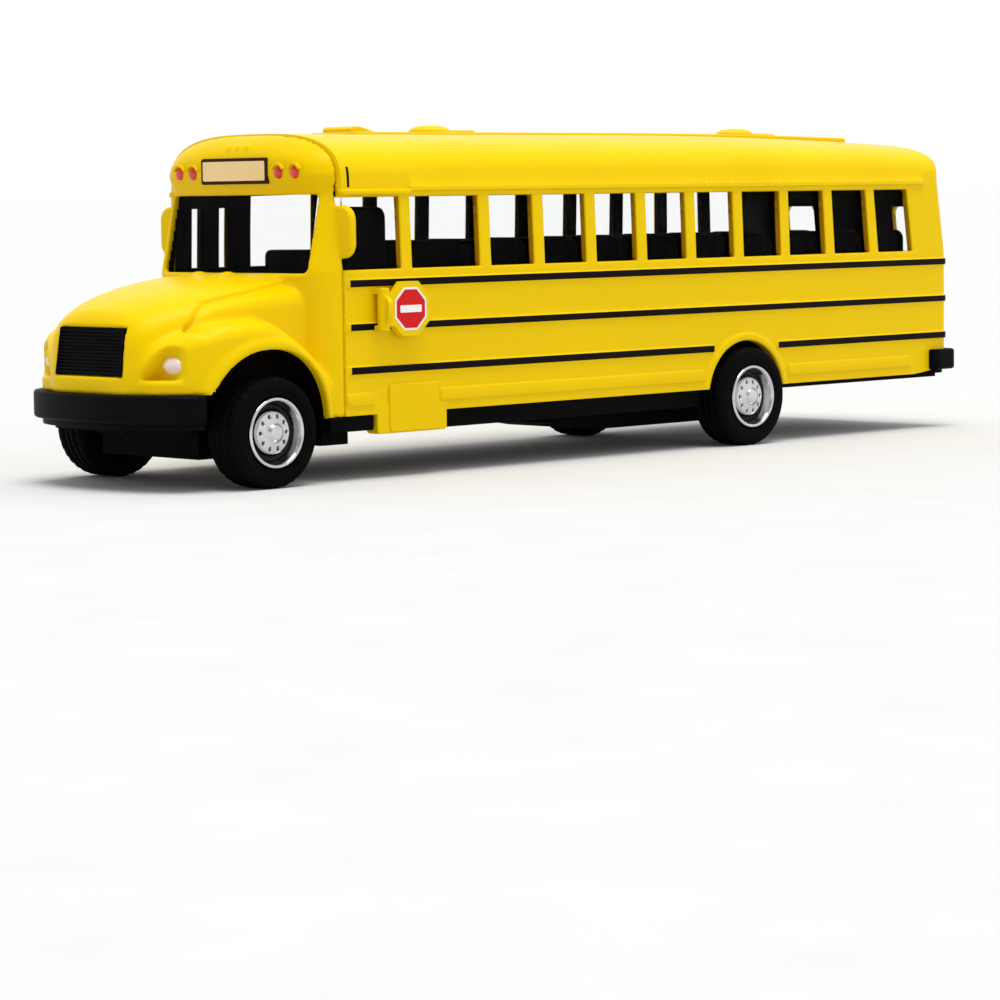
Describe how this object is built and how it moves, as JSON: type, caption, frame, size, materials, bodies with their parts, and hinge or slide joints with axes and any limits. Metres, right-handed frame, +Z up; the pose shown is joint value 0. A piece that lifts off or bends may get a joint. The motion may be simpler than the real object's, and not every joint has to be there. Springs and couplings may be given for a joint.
{
  "type": "toy bus",
  "caption": "Bonneted toy bus with a ribbed die-cast shell, rolling chromed wheels, a pull-back motor and a swinging stop sign.",
  "frame": {"origin": "on the floor under the middle of the bus's bounding box", "axes": "+X forward, +Y to the bus's left side, +Z up"},
  "size_m": [0.214, 0.0552, 0.0638],
  "materials": {
    "yellow_paint": "glossy school-bus yellow enamel over die-cast metal",
    "sign_plastic": "yellow plastic with a printed face",
    "black_plastic": "satin black moulding",
    "grille_plastic": "black moulding",
    "lamp_lens": "pale milky lens",
    "interior_plastic": "black moulding",
    "clear_plastic": "clear moulded plastic",
    "tyre_rubber": "soft black rubber",
    "hub_chrome": "bright plated plastic",
    "steel": "drawn steel",
    "gear_plastic": "natural nylon",
    "motor_plastic": "dark grey moulding"
  },
  "bodies": {
    "bus": {"body_shell": "yellow_paint", "front_casting": "yellow_paint", "grille": "grille_plastic", "headlamp_left": "lamp_lens", "headlamp_right": "lamp_lens", "chassis_base": "black_plastic", "front_bumper": "black_plastic", "rear_bumper": "black_plastic", "chassis_screws": "steel", "seat_tray": "interior_plastic", "driver_seat": "interior_plastic", "glazing_left": "clear_plastic", "glazing_right": "clear_plastic", "windscreen_glazing": "clear_plastic", "rear_glazing": "clear_plastic", "stop_sign_pin": "steel", "motor_case_left": "motor_plastic", "motor_case_right": "motor_plastic", "mainspring": "steel"},
    "front_wheels": {"front_axle": "steel", "hub_front_left": "hub_chrome", "hub_front_right": "hub_chrome", "tyre_front_left": "tyre_rubber", "tyre_front_right": "tyre_rubber"},
    "rear_wheels": {"rear_axle": "steel", "axle_pinion": "gear_plastic", "hub_rear_left": "hub_chrome", "hub_rear_right": "hub_chrome", "tyre_rear_left": "tyre_rubber", "tyre_rear_right": "tyre_rubber"},
    "idler": {"idler_gear": "gear_plastic", "idler_shaft": "steel"},
    "spring_drive": {"spring_gear": "gear_plastic", "spring_arbor": "steel"},
    "sign": {"stop_sign": "sign_plastic"}
  },
  "joints": [
    {"name": "front_axle_spin", "type": "hinge", "parent": "bus", "child": "front_wheels", "pos_m": [0.0832, 0, 0.00975], "axis": [0, 1, 0], "continuous": true},
    {"name": "rear_axle_spin", "type": "hinge", "parent": "bus", "child": "rear_wheels", "pos_m": [-0.041, 0, 0.00975], "axis": [0, 1, 0], "continuous": true},
    {"name": "idler_spin", "type": "hinge", "parent": "bus", "child": "idler", "pos_m": [-0.03148, 0, 0.01419], "axis": [0, 1, 0], "continuous": true},
    {"name": "spring_spin", "type": "hinge", "parent": "bus", "child": "spring_drive", "pos_m": [-0.02114, 0, 0.01601], "axis": [0, 1, 0], "continuous": true},
    {"name": "stop_sign_swing", "type": "hinge", "parent": "bus", "child": "sign", "pos_m": [0.0582, 0.02585, 0.0303], "axis": [0, 0, -1], "range_deg": [0, 90]}
  ],
  "couplings": [
    {"joint": "idler_spin", "follows": "rear_axle_spin", "ratio": -0.4},
    {"joint": "spring_spin", "follows": "rear_axle_spin", "ratio": 0.125}
  ]
}
